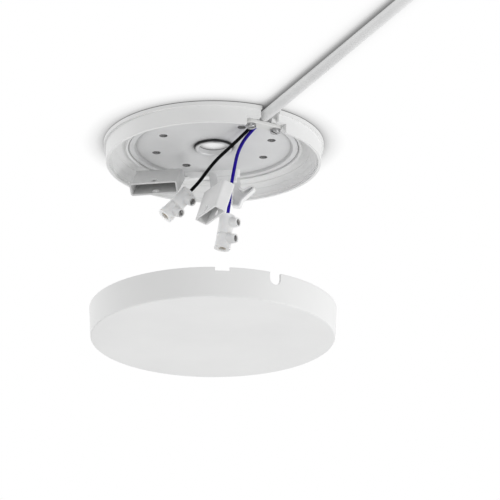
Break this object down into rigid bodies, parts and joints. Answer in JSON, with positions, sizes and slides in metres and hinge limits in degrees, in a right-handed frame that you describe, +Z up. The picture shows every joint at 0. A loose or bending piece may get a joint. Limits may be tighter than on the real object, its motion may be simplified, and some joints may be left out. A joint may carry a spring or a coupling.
{
  "type": "ceiling canopy",
  "caption": "Round surface-mounted ceiling canopy with a steel plate, side cable entry with cord grip, screw terminals, insulating sleeves and a plain lift-off cover.",
  "frame": {"origin": "centre of the dish's back face, in the plane of the ceiling, on the axis of the plate's fixing holes", "axes": "+Z up into the ceiling, along the canopy's axis; the cable leaves towards +X and -Y; -Y faces the picture's camera"},
  "size_m": [0.1795, 0.2922, 0.1081],
  "materials": {
    "dish_white": "fine satin moulding",
    "cover_white": "fine satin moulding",
    "plate_steel": "satin zinc-plated sheet",
    "grip_white": "satin moulding",
    "screw_zinc": "bright zinc",
    "cable_white": "smooth sheath",
    "saddle_white": "satin moulding",
    "lead_black": "smooth insulation",
    "lead_blue": "smooth insulation",
    "terminal_clear": "milky translucent moulding",
    "terminal_brass": "drawn tube",
    "terminal_screw": "dark zinc",
    "sleeve_white": "satin moulding"
  },
  "bodies": {
    "canopy": {"base_dish": "dish_white", "mounting_plate": "plate_steel", "grip_bar": "grip_white", "grip_screws": "screw_zinc", "supply_cable": "cable_white", "cable_saddle": "saddle_white", "saddle_screw": "screw_zinc", "black_lead": "lead_black", "blue_lead": "lead_blue", "black_terminal_housing": "terminal_clear", "black_terminal_barrel": "terminal_brass", "black_terminal_screws": "terminal_screw", "blue_terminal_housing": "terminal_clear", "blue_terminal_barrel": "terminal_brass", "blue_terminal_screws": "terminal_screw", "terminal_carrier": "sleeve_white", "left_sleeve": "sleeve_white", "middle_sleeve": "sleeve_white"},
    "cover": {"cover": "cover_white"}
  },
  "joints": [
    {"name": "cover_slide", "type": "slide", "parent": "canopy", "child": "cover", "axis": [0, 0, 1], "range_m": [0, 0.05]}
  ]
}
